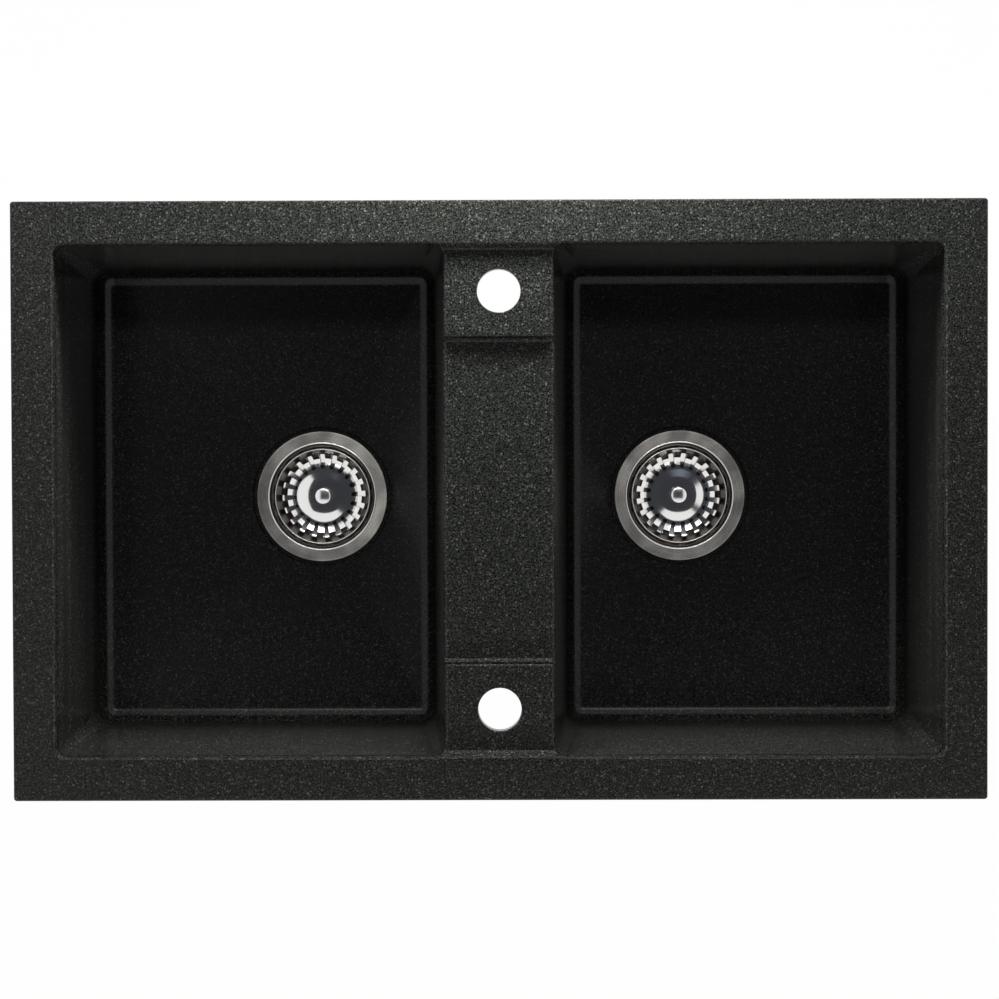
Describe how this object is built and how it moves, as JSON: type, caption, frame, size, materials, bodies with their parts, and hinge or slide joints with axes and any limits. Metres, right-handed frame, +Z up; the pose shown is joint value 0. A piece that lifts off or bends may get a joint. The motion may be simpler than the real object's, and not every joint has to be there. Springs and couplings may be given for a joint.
{
  "type": "double bowl kitchen sink",
  "caption": "Inset double bowl sink with a stepped tap bridge between the bowls, lift-out basket strainer wastes and swing clips under the rim.",
  "frame": {"origin": "centre of the worktop cut-out, level with the worktop's top face, on which the rim's underside lies", "axes": "+Z up, +X to the right along the long side, +Y to the back"},
  "size_m": [0.78, 0.48, 0.2769],
  "materials": {
    "granite": "fine matte, light specks",
    "brushed_steel": "circular brushed",
    "polished_steel": "polished stainless",
    "zinc_steel": "bright zinc plated",
    "brass": "machined",
    "rubber": "matte moulded",
    "seal_foam": "closed-cell foam",
    "black_plastic": "moulded",
    "pale_plastic": "moulded"
  },
  "bodies": {
    "sink": {"sink_basin": "granite", "rim_seal": "seal_foam", "clip_screw_1": "zinc_steel", "clip_screw_2": "zinc_steel", "clip_screw_3": "zinc_steel", "clip_screw_4": "zinc_steel", "clip_screw_5": "zinc_steel", "clip_screw_6": "zinc_steel", "clip_screw_7": "zinc_steel", "clip_screw_8": "zinc_steel", "left_strainer_cup": "brushed_steel", "left_flange_gasket": "rubber", "left_body_gasket": "rubber", "left_waste_body": "black_plastic", "left_thread_insert": "brass", "left_waste_screw": "zinc_steel", "right_strainer_cup": "brushed_steel", "right_flange_gasket": "rubber", "right_body_gasket": "rubber", "right_waste_body": "black_plastic", "right_thread_insert": "brass", "right_waste_screw": "zinc_steel"},
    "left_strainer": {"left_basket": "polished_steel", "left_basket_knob": "polished_steel", "left_basket_plug": "rubber", "left_plug_washer": "zinc_steel", "left_clip_ring": "pale_plastic"},
    "right_strainer": {"right_basket": "polished_steel", "right_basket_knob": "polished_steel", "right_basket_plug": "rubber", "right_plug_washer": "zinc_steel", "right_clip_ring": "pale_plastic"},
    "claw_1": {"clip_claw_1": "zinc_steel"},
    "claw_2": {"clip_claw_2": "zinc_steel"},
    "claw_3": {"clip_claw_3": "zinc_steel"},
    "claw_4": {"clip_claw_4": "zinc_steel"},
    "claw_5": {"clip_claw_5": "zinc_steel"},
    "claw_6": {"clip_claw_6": "zinc_steel"},
    "claw_7": {"clip_claw_7": "zinc_steel"},
    "claw_8": {"clip_claw_8": "zinc_steel"}
  },
  "joints": [
    {"name": "left_basket_lift", "type": "slide", "parent": "sink", "child": "left_strainer", "axis": [0, 0, 1], "range_m": [0, 0.25]},
    {"name": "right_basket_lift", "type": "slide", "parent": "sink", "child": "right_strainer", "axis": [0, 0, 1], "range_m": [0, 0.25]},
    {"name": "claw_swing_1", "type": "hinge", "parent": "sink", "child": "claw_1", "pos_m": [0.2, 0.2208, -0.043], "axis": [0, 0, 1], "range_deg": [0, 90]},
    {"name": "claw_swing_2", "type": "hinge", "parent": "sink", "child": "claw_2", "pos_m": [0.3716, 0.11, -0.043], "axis": [0, 0, 1], "range_deg": [0, 90]},
    {"name": "claw_swing_3", "type": "hinge", "parent": "sink", "child": "claw_3", "pos_m": [0.2, -0.2208, -0.043], "axis": [0, 0, 1], "range_deg": [0, 90]},
    {"name": "claw_swing_4", "type": "hinge", "parent": "sink", "child": "claw_4", "pos_m": [0.3716, -0.11, -0.043], "axis": [0, 0, 1], "range_deg": [0, 90]},
    {"name": "claw_swing_5", "type": "hinge", "parent": "sink", "child": "claw_5", "pos_m": [-0.2, 0.2208, -0.043], "axis": [0, 0, -1], "range_deg": [0, 90]},
    {"name": "claw_swing_6", "type": "hinge", "parent": "sink", "child": "claw_6", "pos_m": [-0.3716, 0.11, -0.043], "axis": [0, 0, -1], "range_deg": [0, 90]},
    {"name": "claw_swing_7", "type": "hinge", "parent": "sink", "child": "claw_7", "pos_m": [-0.2, -0.2208, -0.043], "axis": [0, 0, -1], "range_deg": [0, 90]},
    {"name": "claw_swing_8", "type": "hinge", "parent": "sink", "child": "claw_8", "pos_m": [-0.3716, -0.11, -0.043], "axis": [0, 0, -1], "range_deg": [0, 90]}
  ]
}
